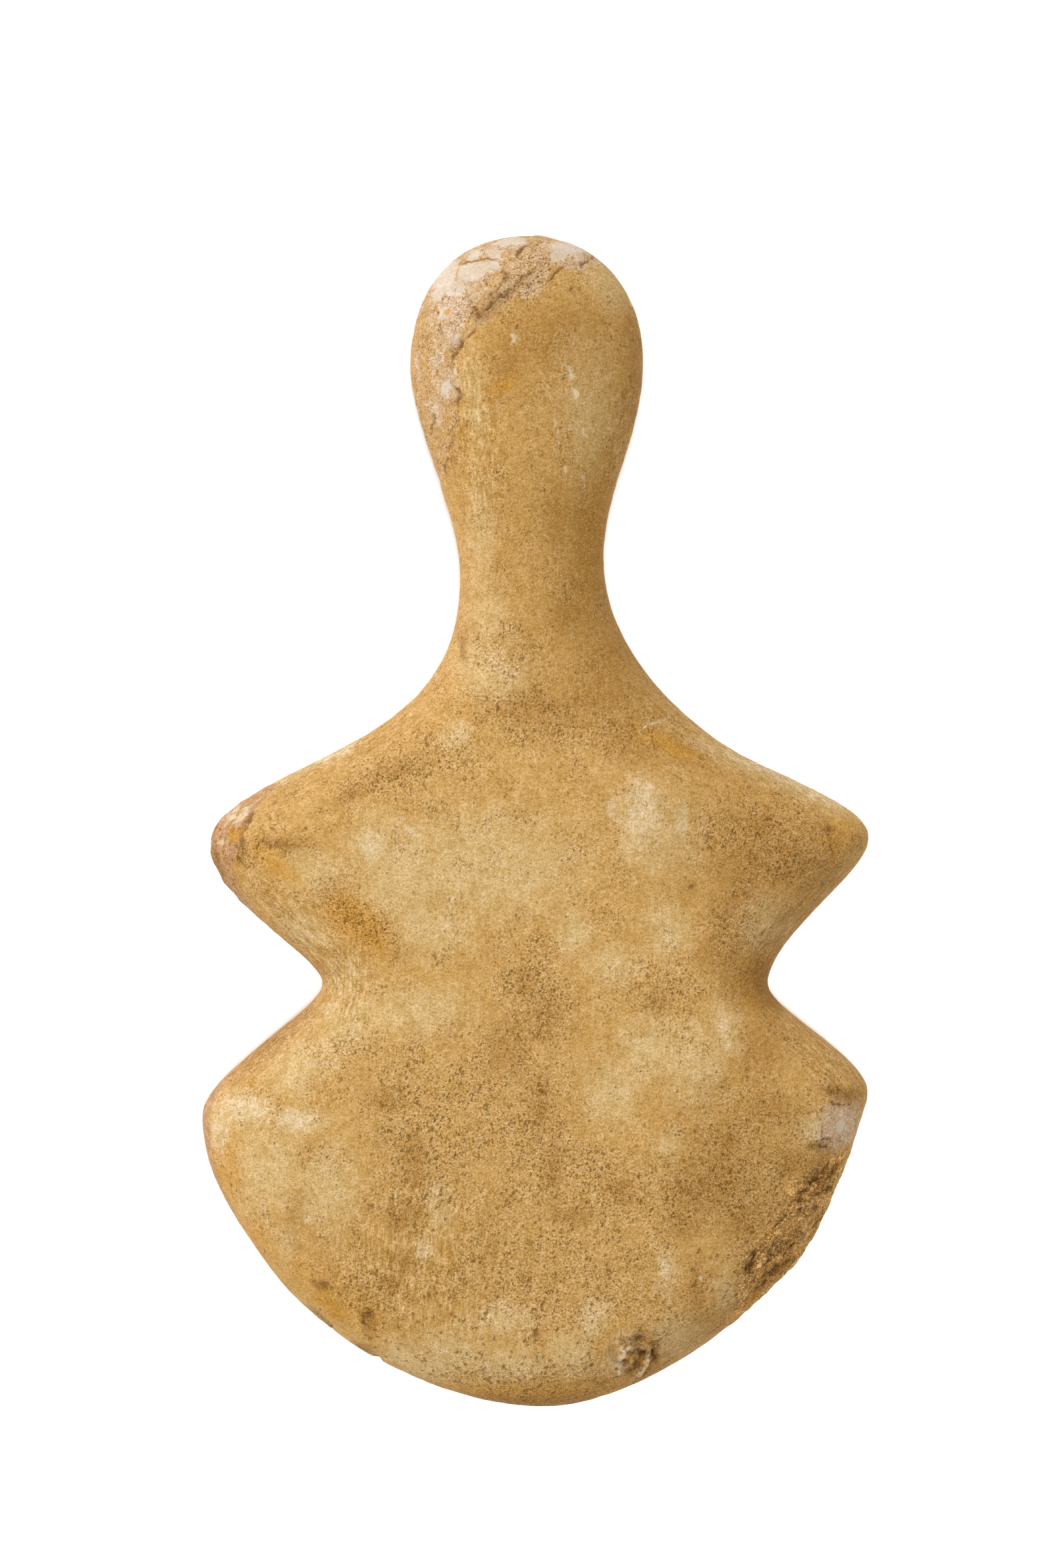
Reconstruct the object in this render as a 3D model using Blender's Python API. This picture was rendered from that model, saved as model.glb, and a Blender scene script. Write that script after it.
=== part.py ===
"""Schematic marble idol of the fiddle-shaped kind, carved from one flat piece of marble.

It lies on its back: the head points to +Y, the worked front faces +Z, and the flat of the back is at Z = 0.
Units are metres. The origin is under the middle of the idol, on the surface that it lies on.
"""

import collections
import math

import bmesh
import bpy
import numpy as np
from mathutils import Vector
from mathutils.geometry import interpolate_bezier

# Overall sizes
HEIGHT = 0.1400
HEAD_WIDTH = 0.0280
NECK_WIDTH = 0.0172
SHOULDER_WIDTH = 0.0791
WAIST_WIDTH = 0.0533
HIP_WIDTH = 0.0800
BODY_THICKNESS = 0.0178
NECK_THICKNESS = 0.0148
HEAD_THICKNESS = 0.0172

# How far the middle of each level stands to the right of the centre line
FOOT_LEAN = 0.0008
WAIST_LEAN = 0.0012
SHOULDER_LEAN = 0.0005
NECK_LEAN = -0.0004
HEAD_LEAN = -0.0011

# Heights of the landmarks above the foot, as shares of the idol's height
LEFT_FLANK_AT = 0.114
RIGHT_FLANK_AT = 0.123
LEFT_HIP_AT = 0.249
RIGHT_HIP_AT = 0.2685
WAIST_AT = 0.361
LEFT_SHOULDER_AT = 0.480
RIGHT_SHOULDER_AT = 0.486
COLLAR_AT = 0.560
LEFT_NECK_AT = 0.708
RIGHT_NECK_AT = 0.724
HEAD_AT = 0.891

# The flank is a share of the hip's width, and the collar a share of the shoulder's
FLANK_SHARE = 0.392
COLLAR_SHARE = 0.302

# The widest outline lies at this share of the body's thickness, measured from the back
RIM_SHARE = 0.45

# Rounding of the worked edges, measured in from the outline
FRONT_ROUNDING = 0.0078
BACK_ROUNDING = 0.0062
HEAD_ROUNDING = 0.0115

# The faces swell gently towards the middle: the share of the rise, and how far in it goes
SWELL_SHARE = 0.16
SWELL_WIDTH = 0.022

# How high the front stands at the foot and at the shoulders, as shares of its height at the hips
FOOT_RISE_SHARE = 0.86
SHOULDER_RISE_SHARE = 0.96

# The back is rubbed flat by this much, and the back of the head stays clear of the ground by its lift
BACK_RUBBED = 0.0004
HEAD_LIFT = 0.0012

# Mesh steps: sections from foot to crown, faces across one side, and points of each stretch of outline
SECTIONS = 112
ACROSS = 18
EDGE_STEPS = 24

# Sections crowd where the outline turns, as if a turn of one radian were this much longer
TURN_LENGTH = 0.004

# Passes that rub down the ridges where two rounded edges meet
SOFTENING_PASSES = 5

Landmark = collections.namedtuple("Landmark", "reach height heading pull_below pull_above")
Scar = collections.namedtuple("Scar", "x y length width angle depth")


def reach_of(width, lean, side):
    """Distance of one edge from the centre line, where side is -1 on the left and 1 on the right."""
    return width / 2 + side * lean


def left_landmarks():
    """The left edge from foot to crown: heights and pulls are shares of the idol's height."""
    return (
        Landmark(reach_of(0, FOOT_LEAN, -1), 0, 0, 0, 0.081),
        Landmark(FLANK_SHARE * HIP_WIDTH, LEFT_FLANK_AT, 53, 0.079, 0.042),
        Landmark(reach_of(HIP_WIDTH, 0, -1), LEFT_HIP_AT, 90, 0.054, 0.036),
        Landmark(reach_of(WAIST_WIDTH, WAIST_LEAN, -1), WAIST_AT, 90, 0.022, 0.025),
        Landmark(reach_of(SHOULDER_WIDTH, SHOULDER_LEAN, -1), LEFT_SHOULDER_AT, 90, 0.049, 0.034),
        Landmark(COLLAR_SHARE * SHOULDER_WIDTH, COLLAR_AT, 151, 0.046, 0.059),
        Landmark(reach_of(NECK_WIDTH, NECK_LEAN, -1), LEFT_NECK_AT, 90, 0.089, 0.056),
        Landmark(reach_of(HEAD_WIDTH, HEAD_LEAN, -1), HEAD_AT, 90, 0.055, 0.066),
        Landmark(reach_of(0, HEAD_LEAN, -1), 1, 180, 0.058, 0),
    )


def right_landmarks():
    """The right edge from foot to crown, which the carver left a little different."""
    return (
        Landmark(reach_of(0, FOOT_LEAN, 1), 0, 0, 0, 0.079),
        Landmark(FLANK_SHARE * HIP_WIDTH, RIGHT_FLANK_AT, 49, 0.070, 0.042),
        Landmark(reach_of(HIP_WIDTH, 0, 1), RIGHT_HIP_AT, 90, 0.007, 0.030),
        Landmark(reach_of(WAIST_WIDTH, WAIST_LEAN, 1), WAIST_AT, 90, 0.020, 0.040),
        Landmark(reach_of(SHOULDER_WIDTH, SHOULDER_LEAN, 1), RIGHT_SHOULDER_AT, 90, 0.030, 0.029),
        Landmark(COLLAR_SHARE * SHOULDER_WIDTH, COLLAR_AT, 149, 0.048, 0.053),
        Landmark(reach_of(NECK_WIDTH, NECK_LEAN, 1), RIGHT_NECK_AT, 90, 0.077, 0.058),
        Landmark(reach_of(HEAD_WIDTH, HEAD_LEAN, 1), HEAD_AT, 90, 0.058, 0.062),
        Landmark(reach_of(0, HEAD_LEAN, 1), 1, 180, 0.062, 0),
    )


def edge_curve(landmarks):
    """Points (reach, y) of one edge, on curves that pass each landmark along its heading."""
    points = []
    for lower, upper in zip(landmarks, landmarks[1:]):
        knots = []
        for mark, pull in ((lower, lower.pull_above), (upper, -upper.pull_below)):
            knot = Vector((mark.reach, mark.height * HEIGHT))
            heading = math.radians(mark.heading)
            knots.append((knot, knot + Vector((math.cos(heading), math.sin(heading))) * pull * HEIGHT))
        (start, leave), (end, arrive) = knots
        points += interpolate_bezier(start, leave, arrive, end, EDGE_STEPS)[:-1]
    points.append(end)
    return np.array(points) - (0, HEIGHT / 2)


def both_edges():
    """The left and the right edge as points (x, y), with the middle of the idol at x = 0."""
    left = edge_curve(left_landmarks()) * (-1, 1)
    right = edge_curve(right_landmarks())
    middle = (left[:, 0].min() + right[:, 0].max()) / 2
    return left - (middle, 0), right - (middle, 0)


def way_along(edge):
    """Way from the foot to each point of an edge, where turns count as extra length."""
    steps = np.diff(edge, axis=0)
    headings = np.arctan2(steps[:, 1], steps[:, 0])
    turns = np.abs(np.diff(headings, prepend=headings[0]))
    return np.concatenate([[0], np.cumsum(np.linalg.norm(steps, axis=1) + TURN_LENGTH * turns)])


def section_heights(left, right):
    """Heights of the sections between foot and crown, at even steps of the way along both edges."""
    heights = np.union1d(left[:, 1], right[:, 1])
    way = sum(np.interp(heights, edge[:, 1], way_along(edge)) for edge in (left, right))
    return np.interp(np.linspace(0, way[-1], SECTIONS + 2)[1:-1], way, heights)


def distance_inside(points, outline):
    """Distance of each point from the closed outline."""
    runs = np.roll(outline, -1, axis=0) - outline
    gaps = points[:, None] - outline
    share = np.clip((gaps * runs).sum(2) / (runs**2).sum(1), 0, 1)
    return np.linalg.norm(gaps - share[..., None] * runs, axis=2).min(1)


def eased(y, foot, hip, shoulder, neck, head):
    """A size that changes smoothly along the idol, from its values at five levels."""
    levels = (0, LEFT_HIP_AT, LEFT_SHOULDER_AT, LEFT_NECK_AT, HEAD_AT)
    sizes = np.array((foot, hip, shoulder, neck, head))
    place = np.interp((y + HEIGHT / 2) / HEIGHT, levels, range(len(levels)))
    lower = np.minimum(place.astype(int), len(levels) - 2)
    share = place - lower
    share = share**2 * (3 - 2 * share)
    return sizes[lower] * (1 - share) + sizes[lower + 1] * share


def rim_height(y):
    """Height of the outline above the ground: the head lies a little higher than the body."""
    body = BODY_THICKNESS * RIM_SHARE
    return eased(y, body, body, body, NECK_THICKNESS / 2 + HEAD_LIFT, HEAD_THICKNESS / 2 + HEAD_LIFT)


def front_rise(y):
    """How far the middle of the front stands over the outline."""
    body = BODY_THICKNESS * (1 - RIM_SHARE)
    foot, shoulder = body * FOOT_RISE_SHARE, body * SHOULDER_RISE_SHARE
    return eased(y, foot, body, shoulder, NECK_THICKNESS / 2, HEAD_THICKNESS / 2)


def back_drop(y):
    """How far the middle of the back hangs under the outline, before it is rubbed flat."""
    body = BODY_THICKNESS * RIM_SHARE + BACK_RUBBED
    return eased(y, body, body, body, NECK_THICKNESS / 2, HEAD_THICKNESS / 2)


def rounding(y, body):
    """Width of the rounded edge: the neck is round right across, and the head nearly so."""
    return eased(y, body, body, body, NECK_WIDTH / 2, HEAD_ROUNDING)


def quarter_round(depth, width):
    """Rise of a quarter round: 0 at the edge, and 1 from its full width inwards."""
    inward = np.clip(depth / width, 0, 1)
    return np.sqrt(1 - (1 - inward) ** 2)


def front_scars():
    """Old damage that changes the form of the front: all but the angles are shares of the height."""
    shoulder_chip = Scar(-0.268, -0.030, 0.150, 0.054, 118, 0.011)
    flaked_crown = Scar(-0.066, 0.425, 0.190, 0.090, 66, 0.003)
    hip_wear = Scar(-0.272, -0.270, 0.170, 0.044, 100, 0.006)
    right_crust = Scar(0.226, -0.372, 0.210, 0.070, 53, 0.009)
    foot_flake = Scar(0.092, -0.450, 0.052, 0.038, 25, 0.009)
    left_crust = Scar(-0.172, -0.420, 0.110, 0.040, -42, 0.006)
    return shoulder_chip, flaked_crown, hip_wear, right_crust, foot_flake, left_crust


def scar_depth(points):
    """How far the old damage takes the front down: each scar is a shallow oval scoop."""
    taken = np.zeros(len(points))
    for scar in front_scars():
        angle = math.radians(scar.angle)
        offset = points / HEIGHT - (scar.x, scar.y)
        along = offset @ (math.cos(angle), math.sin(angle)) / (scar.length / 2)
        across = offset @ (-math.sin(angle), math.cos(angle)) / (scar.width / 2)
        taken += scar.depth * HEIGHT * np.clip(1 - along**2 - across**2, 0, 1) ** 1.5
    return taken


def sheet_heights(points, outline):
    """Heights of the front and of the back at points inside the outline."""
    y = points[:, 1]
    depth = distance_inside(points, outline)
    swell = 1 - SWELL_SHARE + SWELL_SHARE * quarter_round(depth, SWELL_WIDTH)
    front = front_rise(y) * swell * quarter_round(depth, rounding(y, FRONT_ROUNDING)) - scar_depth(points)
    back = back_drop(y) * quarter_round(depth, rounding(y, BACK_ROUNDING))
    return rim_height(y) + np.maximum(front, 0), rim_height(y) - back


def add_skin(shape):
    """A front and a back sheet over the same sections, which meet at the outline."""
    left, right = both_edges()
    heights = section_heights(left, right)
    reach_left = np.interp(heights, left[:, 1], left[:, 0])[:, None]
    reach_right = np.interp(heights, right[:, 1], right[:, 0])[:, None]
    sweep = np.sin(np.linspace(-math.pi / 2, math.pi / 2, ACROSS + 1))
    x = (reach_left + reach_right) / 2 + (reach_right - reach_left) / 2 * sweep
    places = np.stack([x, np.broadcast_to(heights[:, None], x.shape)], axis=2)
    outline = np.concatenate([left, right[-2:0:-1]])
    sheets = sheet_heights(places[:, 1:-1].reshape(-1, 2), outline)

    rims = [
        [shape.verts.new((*place, rim_height(place[1]))) for place in (line[0], line[-1])] for line in places
    ]
    foot, crown = (shape.verts.new((*tip, rim_height(tip[1]))) for tip in (left[0], left[-1]))
    inner_verts = []
    for sheet, outward in zip(sheets, (1, -1)):
        inner = np.concatenate([places[:, 1:-1], sheet.reshape(SECTIONS, -1, 1)], axis=2)
        grid = []
        for (start, end), line in zip(rims, inner):
            verts = [shape.verts.new(point) for point in line]
            inner_verts += verts
            grid.append([start, *verts, end])
        for lower, upper in zip(grid, grid[1:]):
            for column in range(ACROSS):
                corners = (lower[column], lower[column + 1], upper[column + 1], upper[column])
                shape.faces.new(corners[::outward])
        for tip, line, turn in ((foot, grid[0], -outward), (crown, grid[-1], outward)):
            for start, end in zip(line, line[1:]):
                shape.faces.new((start, end, tip)[::turn])
    return inner_verts


def soften_ridges(shape, verts):
    """Rubs down the ridges where two rounded edges meet, and leaves the outline where it is."""
    for _ in range(SOFTENING_PASSES):
        bmesh.ops.smooth_vert(shape, verts=verts, factor=0.5, use_axis_z=True)


def rub_back_flat(shape):
    """Takes off what hangs below the ground, which leaves the flat that the idol lies on."""
    whole = shape.verts[:] + shape.edges[:] + shape.faces[:]
    cut = bmesh.ops.bisect_plane(
        shape, geom=whole, plane_co=(0, 0, 0), plane_no=(0, 0, -1), clear_outer=True, dist=1e-6
    )
    border = [part for part in cut["geom_cut"] if isinstance(part, bmesh.types.BMEdge)]
    bmesh.ops.edgenet_fill(shape, edges=border)
    bmesh.ops.recalc_face_normals(shape, faces=shape.faces)


def patinated_marble():
    """Marble under an ochre patina."""
    material = bpy.data.materials.new("patinated_marble")
    material.use_nodes = True
    shader = material.node_tree.nodes["Principled BSDF"]
    shader.inputs["Base Color"].default_value = (0.56, 0.36, 0.15, 1)
    shader.inputs["Roughness"].default_value = 0.6
    shader.inputs["Metallic"].default_value = 0.0
    return material


def make_idol(collection):
    """The idol, one carved piece."""
    shape = bmesh.new()
    inner_verts = add_skin(shape)
    soften_ridges(shape, inner_verts)
    rub_back_flat(shape)
    mesh = bpy.data.meshes.new("idol")
    shape.to_mesh(mesh)
    shape.free()
    mesh.materials.append(patinated_marble())
    mesh.shade_smooth()
    mesh.set_sharp_from_angle(angle=math.radians(40))
    collection.objects.link(bpy.data.objects.new("idol", mesh))


def main():
    for old in list(bpy.data.objects):
        bpy.data.objects.remove(old)
    collection = bpy.data.collections.new("marble_idol")
    bpy.context.scene.collection.children.link(collection)
    make_idol(collection)


main()
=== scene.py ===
import math
from collections import namedtuple

import bmesh
import bpy
import numpy as np
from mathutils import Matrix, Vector, noise


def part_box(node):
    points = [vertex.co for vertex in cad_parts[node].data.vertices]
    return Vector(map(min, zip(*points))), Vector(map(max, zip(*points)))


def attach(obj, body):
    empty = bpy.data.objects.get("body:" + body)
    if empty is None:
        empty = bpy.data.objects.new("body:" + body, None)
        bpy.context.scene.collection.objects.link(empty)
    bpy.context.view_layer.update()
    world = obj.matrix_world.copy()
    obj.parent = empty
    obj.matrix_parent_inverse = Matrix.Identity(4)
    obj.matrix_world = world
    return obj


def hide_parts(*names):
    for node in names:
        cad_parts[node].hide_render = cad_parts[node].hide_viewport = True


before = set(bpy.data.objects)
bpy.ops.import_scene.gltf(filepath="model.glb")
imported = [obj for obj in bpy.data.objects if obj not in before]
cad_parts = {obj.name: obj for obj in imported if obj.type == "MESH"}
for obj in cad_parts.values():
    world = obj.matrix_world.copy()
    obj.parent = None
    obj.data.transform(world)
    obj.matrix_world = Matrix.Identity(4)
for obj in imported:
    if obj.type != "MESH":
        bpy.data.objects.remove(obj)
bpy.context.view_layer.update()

# The idol is one flat piece of marble, ground and rubbed to its outline with harder stones.
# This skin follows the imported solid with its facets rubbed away, and stands for it in the picture.
# Lengths on the idol are written in millimetres from its middle, for a height of 140 mm.
IDOL_HEIGHT = 140
lowest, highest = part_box("idol")
MM = (highest.y - lowest.y) / IDOL_HEIGHT
SKIN_GRID = 0.60 * MM
RUBBING_PASSES = 17


def rough_skin(node, grid):
    """A closed, even mesh over the solid."""
    shape = bmesh.new()
    shape.from_mesh(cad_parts[node].data)
    bmesh.ops.remove_doubles(shape, verts=shape.verts, dist=0.01 * MM)
    mesh = bpy.data.meshes.new("rough_skin")
    shape.to_mesh(mesh)
    shape.free()
    block = bpy.data.objects.new("rough_skin", mesh)
    bpy.context.scene.collection.objects.link(block)
    remesh = block.modifiers.new("even_grid", "REMESH")
    remesh.mode = "VOXEL"
    remesh.voxel_size = grid
    even = bpy.data.meshes.new_from_object(block.evaluated_get(bpy.context.evaluated_depsgraph_get()))
    bpy.data.objects.remove(block)
    return even


def points_of(mesh):
    """The mesh's points in millimetres on the idol."""
    points = np.empty(len(mesh.vertices) * 3)
    mesh.vertices.foreach_get("co", points)
    return points.reshape(-1, 3) / MM


def put_points(mesh, points):
    mesh.vertices.foreach_set("co", (points * MM).ravel())
    mesh.update()


def normals_of(mesh):
    normals = np.empty(len(mesh.vertices) * 3)
    mesh.vertices.foreach_get("normal", normals)
    return normals.reshape(-1, 3)


def rub_smooth(mesh, passes):
    """Takes the facets away and keeps the size: each inward pass is followed by one outward."""
    ends = np.empty(len(mesh.edges) * 2, int)
    mesh.edges.foreach_get("vertices", ends)
    starts, stops = ends.reshape(-1, 2).T
    points = points_of(mesh)
    neighbours = np.bincount(starts, minlength=len(points)) + np.bincount(stops, minlength=len(points))
    for _ in range(passes):
        for strength in (0.55, -0.57):
            pull = np.empty_like(points)
            for axis in range(3):
                column = points[:, axis]
                total = np.bincount(starts, column[stops], len(points))
                total += np.bincount(stops, column[starts], len(points))
                pull[:, axis] = total / neighbours - column
            points += strength * pull
    points[:, 2] = np.maximum(points[:, 2], 0)
    put_points(mesh, points)


def refine(mesh, is_near):
    """Splits the faces where is_near, a test on points, is true, so that fine relief has room."""
    near = is_near(points_of(mesh))
    shape = bmesh.new()
    shape.from_mesh(mesh)
    shape.verts.ensure_lookup_table()
    edges = [edge for edge in shape.edges if near[edge.verts[0].index] and near[edge.verts[1].index]]
    bmesh.ops.subdivide_edges(shape, edges=edges, cuts=1, use_grid_fill=True)
    bmesh.ops.triangulate(shape, faces=[face for face in shape.faces if len(face.verts) > 4])
    shape.to_mesh(mesh)
    shape.free()


# Where the marks of the front lie, from the middle of the idol, +Y towards the head. A patch is an ellipse,
# given by half its length and width, and by the angle of its length in degrees.
Crack = namedtuple("Crack", "width depth points")
Patch = namedtuple("Patch", "x y length width angle")
Pit = namedtuple("Pit", "x y radius depth")

# Cracks in the crown, the left shoulder's tip, the crust, the right hip and the broken foot
cracks = (
    Crack(0.14, 0.30, ((-0.6, 64.9), (-1.7, 63.8), (-3.2, 62.6), (-4.4, 61.7), (-6.2, 60.1), (-7.0, 59.3),
                       (-6.8, 58.2), (-8.0, 57.0), (-9.2, 55.8), (-9.8, 54.2))),
    Crack(0.16, 0.24, ((-9.8, 54.2), (-9.6, 52.9), (-9.7, 51.8), (-9.0, 50.4), (-9.3, 48.6), (-9.2, 47.2))),
    Crack(0.18, 0.28, ((-9.2, 47.2), (-9.9, 45.0), (-10.5, 43.1), (-10.8, 41.3))),
    Crack(0.13, 0.22, ((7.0, 67.2), (6.3, 66.5), (5.5, 66.2), (4.3, 66.0), (3.3, 65.5), (2.5, 64.9),
                       (1.0, 63.3))),
    Crack(0.12, 0.16, ((-0.5, 69.0), (-1.4, 67.8), (-2.6, 66.6), (-3.9, 65.4), (-3.4, 64.3), (-4.1, 63.4),
                       (-5.2, 61.8))),
    Crack(0.11, 0.16, ((-13.2, 52.8), (-12.2, 51.2), (-11.4, 49.8), (-10.9, 49.0))),
    Crack(0.07, 0.10, ((-11.5, 50.0), (-10.3, 50.3))),
    Crack(0.08, 0.10, ((-12.1, 48.4), (-12.5, 47.0), (-12.4, 45.9))),
    Crack(0.07, 0.09, ((-9.7, 63.0), (-9.6, 61.9))),
    Crack(0.10, 0.12, ((-8.2, 62.0), (-7.6, 61.2))),
    Crack(0.09, 0.12, ((-12.2, 58.9), (-11.3, 58.5), (-11.0, 57.6), (-10.2, 57.0), (-10.1, 55.9),
                       (-9.5, 55.2))),
    Crack(0.08, 0.10, ((-11.8, 61.0), (-11.6, 60.0), (-11.5, 59.2))),
    Crack(0.09, 0.12, ((-9.2, 66.4), (-7.9, 66.7), (-6.4, 66.8), (-5.0, 66.5), (-4.2, 66.2))),
    Crack(0.22, 0.40, ((-33.4, 1.4), (-34.3, -0.1), (-34.9, -1.3), (-35.2, -3.2), (-35.1, -4.7))),
    Crack(0.16, 0.22, ((34.4, -41.6), (33.3, -42.6), (31.5, -43.9), (30.4, -44.9))),
    Crack(0.17, 0.26, ((30.4, -44.9), (30.0, -46.0), (29.3, -46.8), (28.4, -48.0), (27.8, -49.0))),
    Crack(0.20, 0.32, ((27.3, -49.4), (26.3, -50.4), (25.4, -51.8), (24.9, -53.2))),
    Crack(0.12, 0.18, ((33.9, -37.4), (34.3, -37.3), (35.3, -37.6), (36.2, -37.8))),
    Crack(0.11, 0.16, ((32.4, -38.1), (34.4, -38.3))),
    Crack(0.13, 0.18, ((35.0, -33.3), (36.1, -33.5), (37.2, -33.4))),
    Crack(0.09, 0.12, ((33.8, -35.5), (33.8, -36.7))),
    Crack(0.20, 0.30, ((27.7, -51.7), (27.2, -52.6))),
    Crack(0.22, 0.32, ((27.6, -53.9), (26.9, -55.2))),
    Crack(0.18, 0.26, ((33.0, -43.9), (34.4, -44.0), (35.2, -43.4))),
    # This last crack runs along the right side of the foot's ridge: a groove, and its dark paint is painted
    # shadow of the ridge
    Crack(0.24, 0.50, ((13.9, -62.9), (13.9, -63.7), (13.4, -64.8), (12.6, -65.8))),
)
# The ridges that stand between the hollows of the broken foot
ridges = (
    Crack(0.30, 0.75, ((13.1, -62.7), (13.4, -63.5), (12.9, -64.7), (12.3, -65.4), (11.8, -65.9))),
    Crack(0.50, 0.55, ((9.9, -63.5), (11.2, -61.9))),
    Crack(0.34, 0.45, ((9.7, -64.2), (9.9, -65.3), (10.8, -64.8))),
)
# Thin, faint, pale scratches
scratches = (
    ((0.5, 53.0), (1.3, 51.5), (1.7, 50.3), (2.2, 48.4), (2.5, 45.0), (2.6, 43.1)),
    ((-9.4, 54.6), (-9.3, 53.2), (-8.8, 52.1), (-8.9, 51.2)),
    ((5.6, 41.0), (6.0, 38.8)), ((12.5, 10.9), (14.6, 12.0), (16.0, 12.5)),
)
# Short pale bruises, where something hard has knocked the patina
bruises = (
    ((9.9, -63.3), (10.5, -62.5), (11.1, -62.0)), ((9.8, -64.4), (9.9, -65.2)),
    ((13.2, -63.0), (13.4, -63.6), (12.9, -64.7), (12.3, -65.4)), ((3.8, 53.6), (4.0, 53.0), (4.3, 52.3)),
    ((4.4, 51.0), (4.6, 50.0)), ((4.7, 50.8), (4.8, 50.3)), ((-2.8, 57.3), (-2.6, 56.5)),
    ((5.6, 46.2), (5.7, 45.6)), ((3.3, 41.9), (3.6, 41.3)), ((11.2, 62.0), (11.7, 61.5)),
    ((-37.3, -0.4), (-36.7, 0.3), (-36.2, 0.7)), ((-35.9, -0.1), (-35.4, 0.5), (-35.0, 0.8)),
    ((-36.0, 1.3), (-35.4, 1.8)), ((-34.8, 1.2), (-34.2, 1.8)), ((-37.9, -2.6), (-37.7, -2.1)),
    ((19.3, -54.1), (19.4, -53.5)), ((-22.6, 8.6), (-21.6, 9.3)), ((-25.2, 7.4), (-24.4, 7.9)),
)
# Where the patina has flaked from the left of the crown, and the marble under it shows
flaked_crown = (
    (0.2, 69.8), (-0.5, 69.0), (-1.4, 67.8), (-2.6, 66.6), (-3.9, 65.4), (-3.4, 64.3), (-4.1, 63.4),
    (-5.3, 61.4), (-6.6, 60.0), (-7.0, 58.2), (-8.0, 57.0), (-9.2, 55.8), (-9.8, 54.2), (-9.6, 52.9),
    (-9.7, 51.8), (-9.0, 50.4), (-9.3, 48.6), (-9.2, 47.2), (-9.9, 45.0), (-10.5, 43.1), (-11.3, 39.5),
    (-12.5, 36.0), (-20.0, 45.0), (-22.0, 75.0), (0.0, 75.0),
)
# A band of sandy, weathered marble that runs down from the crown
sandy_band = (
    (-0.6, 72.0), (-0.4, 69.2), (-1.4, 67.8), (-2.6, 66.6), (-3.9, 65.4), (-3.6, 64.3), (-4.4, 63.4),
    (-6.0, 61.4), (-7.2, 60.2), (-7.2, 58.6), (-6.6, 58.2), (-5.2, 59.4), (-3.6, 61.0), (-2.0, 61.8),
    (-1.0, 61.6), (0.2, 62.0), (1.2, 63.6), (1.6, 65.2), (1.2, 67.0), (2.0, 68.8), (4.6, 69.2), (5.0, 72.0),
)
# Dark lime crust on the lower right edge
lime_crust = (
    (38.5, -38.4), (35.4, -39.4), (32.0, -40.8), (29.8, -43.0), (28.8, -45.8), (27.0, -48.0), (25.4, -50.0),
    (24.2, -52.4), (24.0, -54.6), (24.2, -57.0), (22.4, -60.2), (21.0, -66.0), (45.0, -66.0), (45.0, -38.4),
)
# The worn facet along the left shoulder's tip
tip_facet = (
    (-30.8, 4.2), (-32.6, 2.4), (-33.4, 1.4), (-34.3, -0.1), (-34.9, -1.3), (-35.2, -3.2), (-35.9, -4.6),
    (-36.1, -6.2), (-35.3, -8.0), (-34.2, -9.6), (-32.8, -11.8), (-36.0, -16.0), (-44.0, 0.0), (-36.0, 8.0),
)
# The worn facet along the left hip
hip_facet = (
    (-33.6, -26.2), (-36.4, -30.0), (-38.2, -32.6), (-38.7, -36.0), (-38.4, -40.0), (-37.2, -44.0),
    (-35.2, -48.2), (-32.8, -52.0), (-36.0, -56.0), (-46.0, -40.0), (-42.0, -27.0),
)
# White marble laid bare
bare_marble = (
    Patch(-10.6, 64.9, 2.2, 1.7, 62), Patch(-7.4, 65.2, 2.0, 1.3, 20), Patch(-4.9, 65.9, 0.8, 0.5, 0),
    Patch(-9.6, 63.2, 1.5, 1.1, 0), Patch(-11.6, 62.6, 1.0, 0.7, 70), Patch(-5.8, 62.8, 0.4, 0.3, 0),
    Patch(-3.0, 69.0, 1.9, 0.7, 8), Patch(-5.0, 67.3, 0.9, 0.6, 0), Patch(-7.2, 67.3, 0.8, 0.5, 25),
    Patch(3.7, 68.2, 2.2, 0.9, -12), Patch(2.6, 66.9, 1.1, 0.7, 30), Patch(-10.9, 60.2, 0.9, 0.7, 10),
    Patch(-10.7, 51.3, 0.9, 0.45, 70), Patch(-9.4, 57.1, 0.6, 0.3, 60), Patch(36.0, -36.1, 0.9, 0.5, 78),
)
# Cream marble that a thin film still covers
cream_marble = (
    Patch(-9.6, 64.3, 4.6, 3.2, 45), Patch(-9.8, 60.8, 2.8, 2.2, 60), Patch(-5.4, 67.6, 4.4, 1.4, 20),
    Patch(-10.4, 57.4, 1.8, 1.2, 60), Patch(-9.4, 57.1, 1.0, 0.6, 60), Patch(-10.7, 51.4, 2.2, 1.4, 70),
    Patch(-11.8, 54.7, 0.8, 1.4, 0), Patch(-14.0, 54.2, 0.3, 1.6, 0), Patch(3.6, 67.6, 3.4, 1.5, -15),
    Patch(-2.6, 68.6, 2.4, 1.2, 8), Patch(-12.2, 48.6, 0.8, 1.6, 20), Patch(-7.4, 62.2, 1.2, 0.9, 45),
    Patch(36.0, -36.0, 3.0, 2.3, 75), Patch(37.4, -34.8, 0.9, 0.8, 40), Patch(4.0, 66.9, 3.0, 1.5, -8),
    Patch(-36.2, 0.9, 1.0, 0.30, 44), Patch(-34.4, 1.5, 0.9, 0.34, 44), Patch(-35.3, 0.2, 0.9, 0.24, 48),
    Patch(9.7, -64.1, 0.5, 0.4, 0), Patch(26.4, -53.7, 0.5, 0.25, 20),
)
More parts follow.
